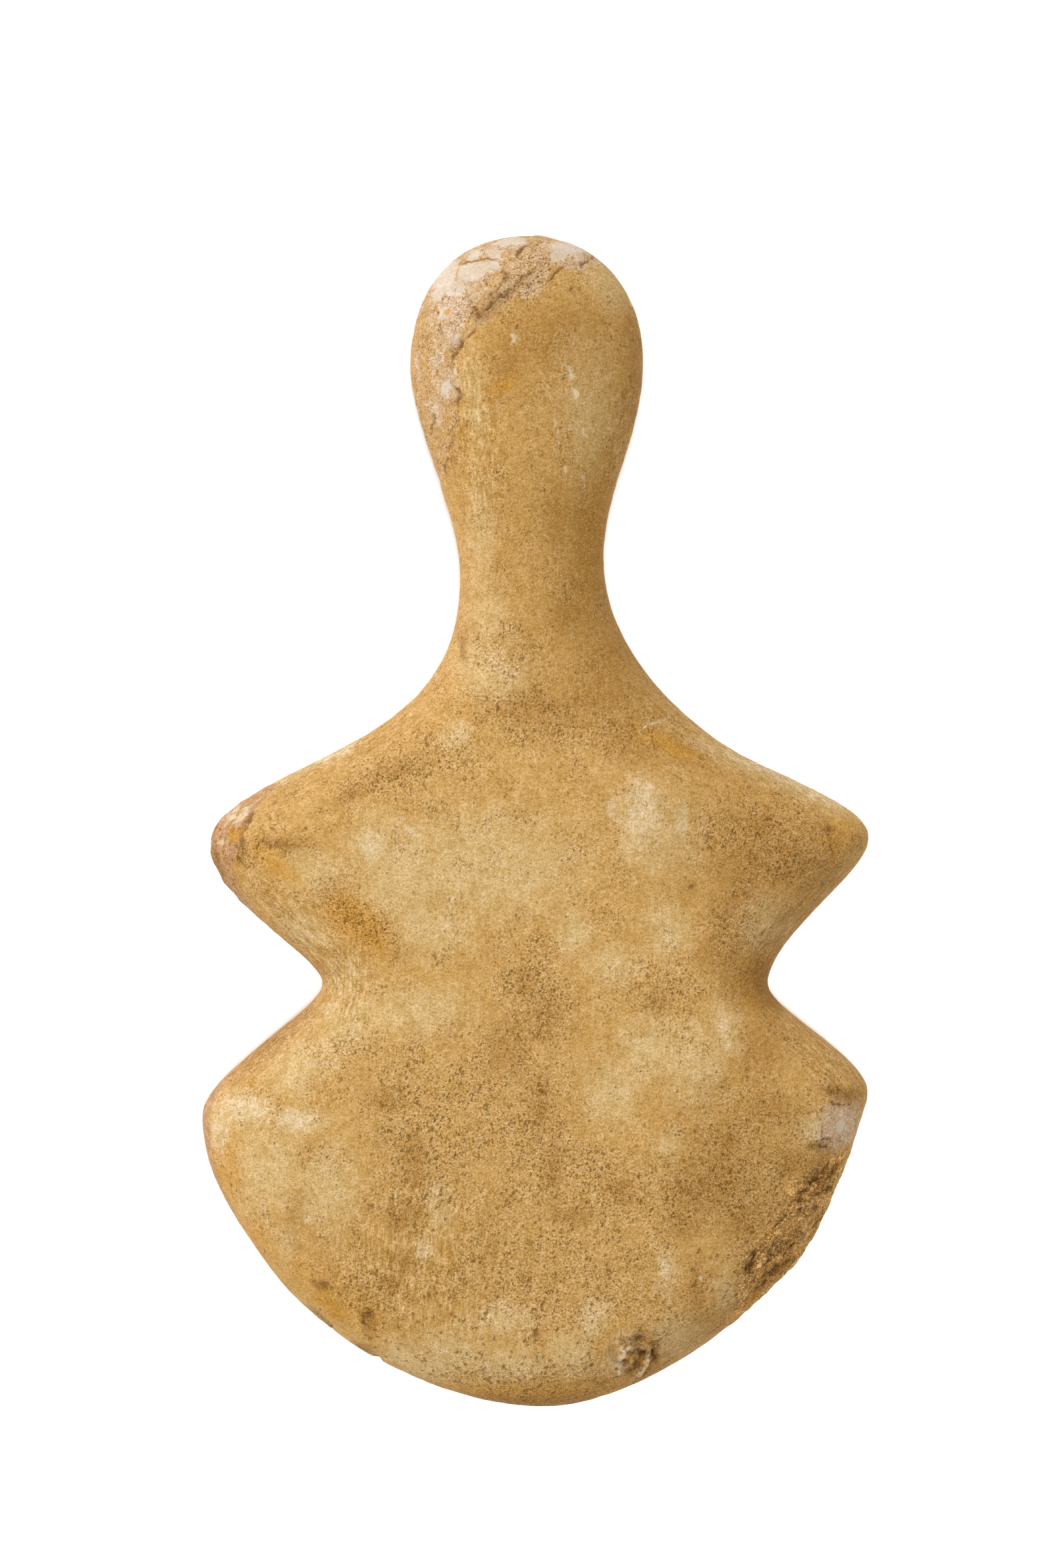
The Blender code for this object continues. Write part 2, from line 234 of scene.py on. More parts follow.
# The larger pits
pits = (
    Pit(4.3, 62.7, 0.26, 0.16), Pit(5.2, 62.8, 0.16, 0.10), Pit(8.7, 51.2, 0.14, 0.08),
    Pit(18.3, -7.5, 0.30, 0.18), Pit(20.2, -1.4, 0.24, 0.14), Pit(20.2, -2.9, 0.20, 0.12),
    Pit(34.8, -0.9, 0.38, 0.20), Pit(19.6, 7.6, 0.24, 0.14), Pit(-8.3, 7.0, 0.22, 0.12),
    Pit(-13.0, 9.5, 0.22, 0.12), Pit(-31.0, 2.2, 0.22, 0.14), Pit(-19.3, -45.2, 0.28, 0.16),
    Pit(25.4, -52.7, 0.42, 0.40), Pit(31.5, -44.7, 0.40, 0.30), Pit(31.4, -46.0, 0.26, 0.24),
    Pit(33.3, -45.8, 0.36, 0.22), Pit(12.6, -62.9, 0.60, 0.60), Pit(12.2, -61.0, 0.60, 0.30),
    Pit(11.8, -64.3, 0.55, 0.50), Pit(11.2, -65.2, 0.40, 0.36), Pit(10.6, -63.9, 0.34, 0.30),
    Pit(6.6, -64.3, 0.36, 0.22), Pit(-19.0, -64.4, 0.60, 0.35), Pit(-24.4, -60.4, 0.30, 0.20),
    Pit(-7.1, 60.3, 0.30, 0.24), Pit(-6.9, 59.7, 0.32, 0.30), Pit(-5.4, -66.4, 0.26, 0.15),
    Pit(-19.9, -58.2, 0.50, 0.28), Pit(-20.3, -59.3, 0.34, 0.22), Pit(-24.8, -54.8, 0.50, 0.14),
    Pit(-23.9, -55.1, 0.34, 0.12), Pit(0.2, -60.4, 0.30, 0.18), Pit(-3.6, -64.2, 0.22, 0.15),
    Pit(-1.5, 67.8, 0.24, 0.20), Pit(-3.4, 64.2, 0.30, 0.26), Pit(5.6, 66.2, 0.28, 0.22),
)
# Where the stone is broken and lumpy: the foot, and two places in the crust
scars = (Patch(12.0, -63.3, 3.2, 3.0, 0), Patch(28.4, -52.0, 5.0, 2.8, 55), Patch(33.6, -42.0, 4.0, 2.6, 60))


def nearest_on(points, line, closed=False):
    """Distance in plan of each point from a line."""
    line = np.array(line)
    starts, stops = (line, np.roll(line, -1, axis=0)) if closed else (line[:-1], line[1:])
    best = np.full(len(points), np.inf)
    for start, stop in zip(starts, stops):
        run = stop - start
        gap = points[:, :2] - start
        share = np.clip(gap @ run / (run @ run), 0, 1)
        best = np.minimum(best, np.hypot(*(gap - share[:, None] * run).T))
    return best


def depth_in(points, ring):
    """Distance in plan from a ring, above zero inside it and below zero outside."""
    ring = np.array(ring)
    x, y = points[:, 0], points[:, 1]
    inside = np.zeros(len(points), bool)
    for (x0, y0), (x1, y1) in zip(ring, np.roll(ring, -1, axis=0)):
        if y0 != y1:
            inside ^= ((y0 > y) != (y1 > y)) & (x < x0 + (x1 - x0) * (y - y0) / (y1 - y0))
    return np.where(inside, 1, -1) * nearest_on(points, ring, closed=True)


def level_in(points, patches):
    """1 in the middle of a patch, 0 on its edge and less outside."""
    best = np.full(len(points), -1.0)
    for patch in patches:
        angle = math.radians(patch.angle)
        gap = points[:, :2] - (patch.x, patch.y)
        along = gap @ (math.cos(angle), math.sin(angle)) / patch.length
        across = gap @ (-math.sin(angle), math.cos(angle)) / patch.width
        best = np.maximum(best, 1 - np.hypot(along, across))
    return best


def smooth_between(low, high, values):
    share = np.clip((values - low) / (high - low), 0, 1)
    return share * share * (3 - 2 * share)


def lumps(points, size, octaves=3, seed=0):
    """Natural unevenness between about -1 and 1, with lumps of the given size."""
    shift = Vector((seed * 17.3, seed * 5.1, seed * 9.7))
    return np.array([noise.fractal(Vector(p) / size + shift, 1.0, 2.0, octaves) for p in points])


# The rounded edge ends at the first of these heights, and from the second on all is front.
EDGE_LEVEL, FRONT_LEVEL = 5.0, 8.0


def beside_marks(points, line_reach, pit_reach, crack_reach):
    """Whether each point of the front lies by a scratch, a bruise, a pit, a crack or a ridge. The last two
    reaches are each a multiple of the mark's own size and a margin on top of it."""
    beside = np.zeros(len(points), bool)
    for line in scratches + bruises:
        beside |= nearest_on(points, line) < line_reach
    times, margin = pit_reach
    for pit in pits:
        beside |= np.hypot(points[:, 0] - pit.x, points[:, 1] - pit.y) < times * pit.radius + margin
    times, margin = crack_reach
    for crack in cracks + ridges:
        beside |= nearest_on(points, crack.points) < times * crack.width + margin
    return beside & (points[:, 2] > EDGE_LEVEL)


def near_marks(points):
    worn = level_in(points, scars) > -0.1
    for ring in (flaked_crown, sandy_band, lime_crust, tip_facet):
        depth = depth_in(points, ring)
        worn |= (depth > -0.6) & (depth < 6)
    worn &= points[:, 2] > EDGE_LEVEL
    return worn | beside_marks(points, line_reach=0.8, pit_reach=(2, 0.4), crack_reach=(0, 1.0))


def near_cracks(points):
    return beside_marks(points, line_reach=0.4, pit_reach=(1.5, 0.1), crack_reach=(2, 0.3))


skin = rough_skin("idol", SKIN_GRID)
rub_smooth(skin, RUBBING_PASSES)
refine(skin, near_marks)
refine(skin, near_cracks)

# The relief: slow waves from the grinding, the marks above, and the grain of the weathered skin.
points = points_of(skin)
normals = normals_of(skin)
front = smooth_between(EDGE_LEVEL, FRONT_LEVEL, points[:, 2])
off_floor = smooth_between(1.5, EDGE_LEVEL, points[:, 2])

# The edges of the marks wander by a few tenths of a millimetre, those of the white marble a little less.
EDGE_WANDER, WHITE_WANDER = 0.40, 0.30
wiggle = np.zeros_like(points)
wiggle[:, 0] = lumps(points, 1.1, 3, seed=1)
wiggle[:, 1] = lumps(points, 1.1, 3, seed=2)
wandering = points + EDGE_WANDER * wiggle
grain = lumps(points, 1.4, 3, seed=3)

# Crumbled stone, and the narrow gaps between its lumps
crumble = lumps(points, 1.8, 5, seed=4)
crevices = np.exp(-((crumble / 0.07) ** 2))
# How wide and deep a crack runs on its way, from 0 to 1
openness = smooth_between(-0.35, 0.25, lumps(points, 2.0, 2, seed=8))


def hollowed(marks):
    """The depth of these cracks, or the height of these ridges, at each point, and how plainly they show."""
    depth = np.zeros(len(points))
    mask = np.zeros(len(points))
    for mark in marks:
        distance = nearest_on(wandering, mark.points)
        line = np.exp(-((distance / (mark.width * (0.55 + 0.75 * openness))) ** 2)) * front
        depth = np.maximum(depth, mark.depth * line * (0.3 + 0.7 * openness))
        mask = np.maximum(mask, line * (0.35 + 0.65 * openness))
    return depth, mask


crack_depth, crack_mask = hollowed(cracks)
ridge_height, _ = hollowed(ridges)
pit_depth = np.zeros(len(points))
pit_mask = np.zeros(len(points))
for pit in pits:
    distance = np.hypot(wandering[:, 0] - pit.x, wandering[:, 1] - pit.y)
    hollow = np.exp(-((distance / pit.radius) ** 2)) * front
    pit_depth = np.maximum(pit_depth, pit.depth * hollow)
    pit_mask = np.maximum(pit_mask, hollow)

flaked = depth_in(wandering, flaked_crown)
band = depth_in(wandering, sandy_band)
crust = depth_in(wandering, lime_crust)
tip = depth_in(wandering, tip_facet)
hip = depth_in(wandering, hip_facet)
bare = level_in(points + WHITE_WANDER * wiggle, bare_marble)
cream = level_in(wandering, cream_marble)
scarred = level_in(wandering, scars)

in_flaked = smooth_between(-0.20, 0.45, flaked) * front
in_band = smooth_between(-0.30, 0.60, band) * front
in_crust = smooth_between(-0.60, 1.60, crust) * off_floor
in_tip = smooth_between(-0.10, 0.35, tip) * off_floor
in_hip = smooth_between(-0.60, 0.80, hip) * off_floor
in_bare = smooth_between(-0.10, 0.30, bare) * front
in_scar = smooth_between(0.0, 0.7, scarred) * off_floor

# How deep each kind of damage lies and how rough it is, in millimetres. The crust and the facets lose height
# only where they face up, so that the outline stays.
GRINDING_WAVES, GRINDING_RIPPLES, GRAIN = 0.10, 0.040, 0.040
FLAKE_DEPTH, FLAKE_ROUGHNESS = 0.09, 0.07
BAND_DEPTH, BAND_ROUGHNESS = 0.03, 0.16
CRUST_DEPTH, CRUST_ROUGHNESS, CRUST_CREVICES = 0.08, 0.17, 0.08
SCAR_DEPTH, SCAR_ROUGHNESS, SCAR_CREVICES = 0.06, 0.50, 0.22
TIP_DEPTH, TIP_SLOPE, TIP_ROUGHNESS = 0.20, 0.10, 0.14
HIP_SLOPE = 0.08
WORN_WIDTH = 4

facing = smooth_between(0.15, 0.75, normals[:, 2])
relief = GRINDING_WAVES * lumps(points, 15, 2, seed=5) + GRINDING_RIPPLES * lumps(points, 5, 2, seed=6)
relief += GRAIN * grain * (1 - 0.7 * in_bare)
relief -= FLAKE_DEPTH * in_flaked - FLAKE_ROUGHNESS * in_flaked * crumble * (1 - in_bare)
relief -= in_band * (BAND_DEPTH - BAND_ROUGHNESS * crumble)
relief -= in_crust * (CRUST_DEPTH * facing - CRUST_ROUGHNESS * crumble + CRUST_CREVICES * crevices)
relief -= in_scar * (SCAR_DEPTH - SCAR_ROUGHNESS * crumble + SCAR_CREVICES * crevices)
relief -= in_tip * (facing * (TIP_DEPTH + TIP_SLOPE * np.clip(tip, 0, WORN_WIDTH)) - TIP_ROUGHNESS * crumble)
relief -= in_hip * facing * HIP_SLOPE * np.clip(hip, 0, WORN_WIDTH)
relief += ridge_height - crack_depth - pit_depth
relief *= smooth_between(0.0, 0.6, points[:, 2])
points += relief[:, None] * normals
points[:, 2] = np.maximum(points[:, 2], 0)
put_points(skin, points)
skin.shade_smooth()

# The colours are painted on the skin as soft areas, and the marble's shader gives them ragged edges.
pale_areas = (
    Patch(14.6, -1.0, 4.6, 4.6, 0), Patch(-6.0, -5.0, 9.5, 5.6, 0), Patch(-15.0, -6.0, 5.0, 5.0, 0),
    Patch(-12.0, -12.0, 4.2, 3.4, 0), Patch(4.5, -13.0, 2.0, 2.4, 0), Patch(9.0, -16.8, 2.8, 2.2, 0),
    Patch(15.5, -12.6, 2.4, 3.2, 0), Patch(-22.0, -23.6, 4.2, 2.6, 25), Patch(-27.6, -28.6, 4.4, 2.6, 42),
    Patch(-14.0, -22.0, 5.0, 2.6, 0), Patch(18.8, -28.4, 3.4, 4.4, 0), Patch(22.4, -24.6, 1.6, 3.0, 15),
    Patch(9.0, -31.6, 3.0, 3.6, 0), Patch(13.6, -26.6, 3.6, 3.4, 0), Patch(15.6, -37.8, 1.5, 1.6, 0),
    Patch(-34.6, -34.2, 3.2, 2.0, 0), Patch(-28.2, -35.2, 2.8, 1.6, 0), Patch(-37.6, -37.4, 1.8, 4.0, 0),
    Patch(-32.0, -40.8, 3.8, 4.6, 0), Patch(-24.6, -43.0, 3.4, 4.4, 0), Patch(-11.2, -45.4, 1.2, 2.8, 12),
    Patch(-13.2, -50.2, 1.0, 1.6, 0), Patch(-34.6, -46.6, 1.5, 3.6, 28), Patch(6.8, -58.4, 1.6, 2.4, -20),
    Patch(-3.2, -64.2, 4.4, 2.2, 0), Patch(-10.0, -62.4, 3.4, 2.6, 0), Patch(15.2, -52.8, 1.2, 2.4, 0),
    # The patch right of the foot's scar, at x 17, is painted light, a highlight on a part that faces away
    # from the lamp
    Patch(22.6, -55.6, 1.2, 2.8, 0), Patch(17.0, -61.2, 3.6, 2.8, 0), Patch(-4.0, -58.6, 3.6, 1.6, 0),
    Patch(-26.0, -57.2, 6.0, 2.6, -42), Patch(-30.6, -51.4, 2.4, 3.4, 25), Patch(6.4, 47.6, 2.8, 8.6, 8),
    Patch(-7.2, 50.0, 1.0, 5.6, 8), Patch(8.8, 64.0, 2.2, 3.4, 38), Patch(-6.4, 34.6, 1.6, 5.0, 0),
    Patch(-27.6, -12.6, 3.4, 1.8, -45), Patch(-5.4, 18.4, 4.0, 3.2, -30), Patch(-5.6, 25.0, 2.0, 3.6, 0),
    # The long strip at x 30 along the right shoulder's upper edge is pale rubbed wear and a painted highlight
    Patch(-27.0, 6.6, 6.0, 0.8, 27), Patch(-9.6, 10.0, 1.8, 1.4, 20), Patch(29.6, 4.9, 11.5, 1.2, -24),
    Patch(27.4, -12.2, 3.0, 3.2, 0), Patch(37.4, -3.2, 1.4, 2.0, 0), Patch(33.0, -36.2, 1.8, 1.4, 0),
    Patch(36.5, -38.6, 1.1, 0.9, 0), Patch(35.2, -44.6, 1.0, 0.8, 0), Patch(-26.4, -6.2, 3.0, 2.4, 0),
    Patch(-18.6, -2.6, 3.0, 3.4, 0), Patch(-22.4, -18.6, 2.4, 2.4, 0), Patch(-14.0, -64.0, 4.4, 2.0, -20),
    Patch(4.4, -63.0, 2.8, 2.4, 0),
)
cream_areas = (
    Patch(12.4, 1.4, 1.9, 3.6, 4), Patch(17.2, 0.0, 0.7, 2.0, 0), Patch(-19.0, -3.0, 1.2, 1.4, 0),
    Patch(-34.4, -33.9, 3.2, 1.6, -6), Patch(-28.2, -35.1, 2.2, 1.1, 0), Patch(-37.6, -36.4, 1.2, 2.6, 0),
    Patch(22.2, -24.8, 0.5, 2.2, 8), Patch(-24.6, -22.2, 0.8, 0.6, 0), Patch(36.2, -35.8, 2.0, 1.6, 60),
    Patch(34.6, -34.9, 0.9, 0.7, 0), Patch(14.2, 11.6, 1.8, 0.15, 22), Patch(4.0, 52.9, 0.95, 0.28, 112),
    Patch(4.5, 50.5, 0.55, 0.50, 60), Patch(-2.5, 56.8, 0.75, 0.32, 80), Patch(5.7, 45.8, 0.6, 0.16, 105),
    Patch(-0.8, 48.8, 0.4, 0.22, 150), Patch(-26.8, -46.7, 0.4, 0.3, 0), Patch(19.3, -53.8, 0.2, 0.4, 0),
    Patch(-8.7, 11.4, 0.35, 0.45, 0), Patch(13.3, -63.3, 1.10, 0.42, 78), Patch(12.4, -65.2, 1.4, 0.42, 52),
    Patch(9.8, -65.2, 0.5, 0.4, 0), Patch(10.2, -62.8, 2.6, 1.8, 58), Patch(33.2, -36.0, 1.0, 1.2, 0),
    # The long strip at x 31 along the right shoulder's upper edge is pale rubbed wear and a painted highlight
    Patch(31.0, 4.5, 8.6, 0.5, -24), Patch(-24.4, 7.9, 2.4, 0.4, 28), Patch(36.7, -38.6, 0.7, 0.6, 0),
    Patch(31.6, -45.4, 0.9, 0.45, 0), Patch(35.0, -44.6, 0.9, 0.6, 20), Patch(31.4, -47.6, 1.4, 0.6, 50),
    Patch(29.0, -50.6, 1.2, 0.5, 60), Patch(33.6, -41.0, 0.9, 0.4, 40), Patch(-36.9, -2.4, 0.3, 0.5, 0),
    Patch(8.8, 1.8, 0.6, 1.4, 0), Patch(15.2, -52.8, 0.5, 1.2, 0), Patch(-14.4, -1.0, 0.9, 0.6, 0),
)
golden_areas = (
    Patch(-30.6, -5.0, 4.0, 1.2, -38), Patch(-21.0, -11.6, 4.6, 2.2, -38), Patch(-37.2, -3.6, 1.6, 3.6, 0),
    Patch(-37.2, -41.0, 2.2, 7.0, 8), Patch(-33.2, -50.0, 2.2, 5.4, 35), Patch(-23.8, -57.0, 5.6, 2.8, -42),
    Patch(7.4, 36.0, 1.6, 8.0, -8), Patch(-3.6, 51.6, 2.2, 0.8, 30), Patch(2.0, -67.8, 14, 1.8, 0),
    Patch(30.0, -54.4, 5.0, 1.6, 55), Patch(10.6, -62.6, 3.0, 2.4, 0), Patch(27.4, -19.0, 2.6, 3.6, 0),
    Patch(36.2, -38.0, 1.8, 3.0, 0), Patch(-20.2, -58.2, 2.4, 2.0, -42), Patch(15.6, 9.2, 4.0, 1.0, -24),
    Patch(36.4, -2.4, 2.2, 2.6, 0), Patch(-27.0, -55.0, 5.0, 2.4, -45),
)
brown_areas = (
    Patch(-3.0, 54.6, 4.2, 2.0, 72), Patch(1.9, 58.7, 2.6, 1.2, -35), Patch(0.6, 55.6, 2.4, 1.6, -60),
    Patch(-0.6, 63.8, 2.4, 1.3, 40), Patch(12.2, 53.6, 1.4, 9, 3), Patch(11.6, 60.4, 1.0, 3.6, -25),
    Patch(-10.2, 43.4, 1.0, 2.6, 12), Patch(6.8, 37.6, 1.9, 6.6, -8), Patch(6.4, 27.0, 2.6, 8.0, -5),
    Patch(8.4, 19.6, 3.0, 4.0, -30), Patch(3.9, 24.4, 2.2, 2.8, 0), Patch(-7.6, 22.6, 0.9, 1.6, 0),
    Patch(2.4, 35.6, 1.4, 2.8, 0), Patch(0.4, 13.4, 6.4, 2.4, -10), Patch(4.0, 58.0, 3.4, 3.0, 0),
    Patch(11.4, 9.8, 4.2, 3.0, -20), Patch(17.4, 8.5, 4.2, 1.7, -28), Patch(6.6, 15.0, 4.6, 3.6, 0),
    Patch(-16.4, 6.2, 4.6, 1.2, 22), Patch(-22.0, 3.2, 2.4, 0.8, 20), Patch(-29.6, -2.5, 4.0, 1.1, -8),
    Patch(-35.4, -4.2, 1.3, 1.6, 0), Patch(-24.2, -8.2, 1.6, 0.9, -30), Patch(-21.4, -11.2, 2.2, 1.2, -40),
    Patch(-18.8, -13.6, 1.8, 1.0, -35), Patch(-16.2, -15.4, 1.8, 1.0, 0), Patch(26.2, -26.6, 3.4, 3.2, 0),
    Patch(33.8, -1.4, 3.0, 1.8, -20), Patch(30.6, -4.6, 3.2, 2.6, 0), Patch(25.2, -5.4, 3.8, 3.8, 0),
    Patch(23.2, -10.6, 2.6, 3.4, 0), Patch(26.4, -0.4, 4.2, 1.8, -14), Patch(25.3, -18.9, 3.0, 3.4, 0),
    Patch(21.8, -15.4, 2.6, 2.8, 0), Patch(30.4, -40.4, 1.7, 1.7, 0), Patch(-1.2, -18.6, 1.1, 1.8, 0),
    Patch(-3.2, -26.4, 2.0, 3.4, 0), Patch(1.0, -22.6, 1.8, 2.8, 0), Patch(14.4, -21.3, 1.6, 1.3, 0),
    Patch(18.2, -7.4, 1.0, 0.8, 0), Patch(-14.2, -39.6, 1.5, 3.0, 8), Patch(-15.6, -46.4, 1.9, 1.9, 0),
    Patch(-17.4, -32.4, 1.8, 1.5, 0), Patch(0.4, -33.2, 1.3, 3.4, 0), Patch(2.2, -40.8, 0.9, 3.6, 0),
    Patch(10.2, -43.6, 2.4, 1.5, 0), Patch(20.0, -43.0, 4.4, 3.4, 0), Patch(17.4, -47.4, 2.4, 1.8, 0),
    Patch(24.0, -47.0, 2.4, 2.4, 0), Patch(4.4, -46.4, 2.6, 1.2, 0), Patch(22.4, -37.8, 1.6, 1.6, 0),
    Patch(28.0, -33.4, 2.6, 1.6, 0), Patch(36.2, -32.0, 2.2, 0.8, -10), Patch(33.4, -41.4, 2.4, 1.4, 50),
    Patch(29.0, -53.0, 3.4, 1.6, 55), Patch(18.9, -54.8, 1.0, 3.4, 0), Patch(19.2, -59.4, 1.8, 1.2, 30),
    Patch(12.6, -62.6, 2.6, 2.6, 0), Patch(0.0, -69.3, 17, 1.6, 0), Patch(12.4, -67.2, 5.0, 1.3, 28),
    Patch(-13.6, -67.6, 6.0, 1.2, -22), Patch(-25.4, -54.6, 1.6, 0.8, -30),
    Patch(-19.8, -58.7, 1.1, 2.4, 0), Patch(-21.0, -62.6, 1.2, 1.0, 0), Patch(-28.6, -50.4, 0.9, 2.6, 10),
    Patch(-28.4, -46.0, 1.1, 1.8, 0), Patch(-16.0, -51.6, 1.8, 1.2, -20), Patch(-17.4, -54.6, 1.3, 1.3, 0),
    Patch(-31.2, -25.5, 6.4, 1.4, 42), Patch(-14.6, 47.0, 0.8, 8.0, 12), Patch(-13.4, 57.6, 1.2, 3.0, 0),
    Patch(24.0, -58.0, 4.4, 1.0, 40), Patch(-6.2, 60.2, 1.6, 0.8, 45),
)
dirt_areas = (
    Patch(-30.6, -2.6, 2.8, 0.5, -10), Patch(-34.6, -3.0, 0.6, 1.0, 0), Patch(-35.0, -4.6, 0.4, 0.6, 0),
    Patch(-19.8, -58.8, 0.7, 1.6, 0), Patch(-25.6, -55.0, 1.2, 0.5, -30), Patch(-20.6, -63.0, 1.4, 0.7, 0),
    Patch(12.4, -61.0, 1.1, 0.5, 5), Patch(12.7, -63.0, 0.6, 0.6, 0), Patch(11.8, -64.4, 0.4, 0.8, 10),
    # The two patches at x 14, beside the foot's ridge, are painted shadow of the ridge
    Patch(14.1, -63.3, 0.6, 0.9, -20), Patch(14.2, -61.8, 0.6, 0.5, 0), Patch(10.5, -61.2, 0.5, 0.5, 0),
    Patch(9.2, -62.6, 0.5, 1.2, 20), Patch(28.0, -19.8, 2.2, 3.0, 0), Patch(35.6, -32.0, 2.2, 0.6, -15),
    Patch(33.4, -38.2, 1.6, 0.6, 0), Patch(34.2, -42.2, 1.4, 0.7, 50), Patch(31.6, -44.8, 0.8, 0.3, -10),
    Patch(33.4, -43.8, 1.6, 0.4, 10), Patch(27.8, -50.6, 1.2, 0.5, 50), Patch(28.8, -53.4, 1.6, 0.6, 55),
    Patch(26.6, -55.0, 1.3, 0.6, 55), Patch(25.4, -52.4, 0.7, 0.7, 0), Patch(30.4, -52.0, 0.4, 1.0, -20),
    Patch(-25.6, -59.2, 2.0, 0.5, -42), Patch(-2.6, 62.5, 2.4, 0.4, 42), Patch(-5.4, 60.6, 2.2, 1.0, 46),
    Patch(-1.6, 67.8, 1.2, 0.3, 50), Patch(-3.4, 64.4, 0.4, 0.7, 0), Patch(-8.6, 20.6, 0.5, 1.8, 10),
    Patch(-9.2, 56.4, 0.6, 0.8, -30), Patch(-7.0, 60.0, 0.7, 0.9, 0), Patch(0.0, -69.6, 14.0, 1.3, 0),
    Patch(-38.2, -5.4, 0.7, 2.6, 15), Patch(-36.6, -8.8, 0.5, 1.8, 28),
)
# Painted shade: the colour is a little darker here, towards the head, the neck and the right side
shade_zone_areas = (
    Patch(1.0, 56.0, 13, 14, 0), Patch(1.0, 30.0, 12, 22, 0), Patch(12.0, 18.0, 9.0, 9.0, 0),
    Patch(23.0, -2.0, 13, 12, 0), Patch(23.0, -38.0, 10, 14, 0),
)
# Ochre that has soaked into cracks and seams
ochre_areas = (
    Patch(-36.0, -1.6, 0.70, 0.95, 0), Patch(-35.5, -3.9, 0.30, 0.35, 0),
    Patch(-35.1, -0.9, 0.20, 0.7, -20), Patch(-9.3, 65.0, 0.16, 1.50, 0), Patch(-6.9, 66.7, 2.00, 0.14, 0),
    Patch(-10.4, 60.2, 0.40, 0.40, 0), Patch(-11.7, 60.7, 0.30, 0.40, 0), Patch(-7.1, 60.4, 0.35, 0.45, 0),
    Patch(-8.2, 58.8, 0.30, 0.30, 0), Patch(31.1, -44.0, 0.90, 0.26, 60),
    Patch(35.6, -41.2, 0.90, 0.40, 60), Patch(26.8, -54.3, 0.70, 0.40, 30),
    Patch(29.8, -52.0, 1.00, 0.30, 62), Patch(26.2, -56.6, 0.80, 0.60, 40),
    Patch(37.0, -35.5, 0.50, 0.26, 80), Patch(-19.0, -14.2, 1.20, 0.60, -40),
    Patch(11.0, -63.3, 0.70, 0.40, 40), Patch(-24.4, -57.4, 2.60, 1.10, -45),
    Patch(9.2, -62.0, 0.30, 0.40, 0), Patch(-3.8, 51.2, 0.90, 0.50, 0),
)
# Where pits and dark grains crowd
crowded_areas = (
    Patch(-12.0, -37.0, 9.0, 13, 0), Patch(1.0, -38.0, 6.0, 12, 0), Patch(0.0, -20.0, 6.0, 7.0, 0),
    Patch(4.0, -54.0, 20, 9.0, 0), Patch(25.0, -40.0, 9.0, 11, 0), Patch(28.0, -2.0, 10, 6.0, -10),
    Patch(-15.0, 6.0, 12, 3.4, 18), Patch(15.0, -20.0, 7.0, 4.0, 0), Patch(30.0, -48.0, 12, 6.0, 57),
    Patch(-21.0, -11.6, 6.0, 3.0, -38), Patch(2.0, 12.0, 13, 4.4, -12), Patch(12.0, -44.0, 13, 6.0, 0),
    Patch(0.0, -66.0, 16, 4.0, 0), Patch(24.0, -12.0, 4.0, 8.0, 0), Patch(-20.0, -56.0, 6.0, 5.0, 0),
    Patch(-33.0, -3.4, 3.6, 2.0, 0), Patch(-4.0, 20.0, 4.0, 5.0, 0), Patch(-22.0, -27.0, 6.0, 3.0, 30),
    Patch(13.0, -61.0, 4.0, 4.0, 0), Patch(-1.0, 64.0, 4.0, 3.0, 45), Patch(-5.0, -64.6, 13, 2.6, -8),
)
densest_areas = (
    Patch(-14.0, -38.0, 4.4, 12, 8), Patch(-4.0, -31.0, 7.0, 7.0, 0), Patch(-1.0, -20.0, 4.0, 6.0, 0),
    Patch(3.0, -41.0, 8.0, 6.0, 0), Patch(22.0, -44.0, 8.0, 6.0, 0), Patch(24.0, -54.0, 6.0, 4.0, 55),
    Patch(-18.0, -55.0, 5.0, 5.0, 0), Patch(27.0, -3.0, 8.0, 4.0, -20), Patch(-20.0, -12.0, 5.0, 3.0, -40),
    Patch(2.0, -66.5, 14, 2.6, 0), Patch(-17.0, 5.8, 6.0, 1.4, 20),
)
# Where larger pocks lie between the grains
pocked_areas = (
    Patch(-9.0, -61.5, 19, 7.0, -12), Patch(6.0, -64.5, 12, 4.6, 14), Patch(22.0, -53.0, 8.0, 5.0, 52),
    Patch(-13.0, -42.0, 4.0, 8.0, 8),
)
# Where the rubbing has left strokes
upright_strokes = (
    Patch(-7.0, 45.0, 3.4, 10.0, 8), Patch(10.5, 46.0, 2, 8, -8), Patch(-14.0, -52.0, 12, 9, 0),
    Patch(-22.0, -19.0, 3, 7, 0), Patch(-37.6, -5.0, 1.4, 3.0, 8),
)
falling_strokes = (
    Patch(-28.0, -13.0, 10, 2.6, -48), Patch(34.0, -27.0, 9, 3.0, -44), Patch(26.0, 8.0, 14, 3, -26),
    Patch(-35.6, -8.0, 4.0, 1.6, -58),
)
rising_strokes = (
    Patch(-31.0, -24.5, 9, 3.0, 44), Patch(31.0, -12.0, 9, 3.0, 44), Patch(-26.0, 8.0, 14, 3, 26),
    Patch(29.0, -53.0, 10, 2.6, 55), Patch(35.4, -41.6, 4, 2.0, 60), Patch(-36.4, 0.6, 4.0, 1.8, 46),
    Patch(16.0, -65.0, 8, 1.8, 32),
)


def paint(name, values):
    layer = skin.attributes.new(name, "FLOAT", "POINT")
    layer.data.foreach_set("value", values.astype(np.float32))


def paint_front(name, levels):
    """Levels fade out below the edge, so that the back stays plain."""
    paint(name, np.clip(levels, -1.5, 1.5) - 2.5 * (1 - smooth_between(1.0, 6.0, points[:, 2])))


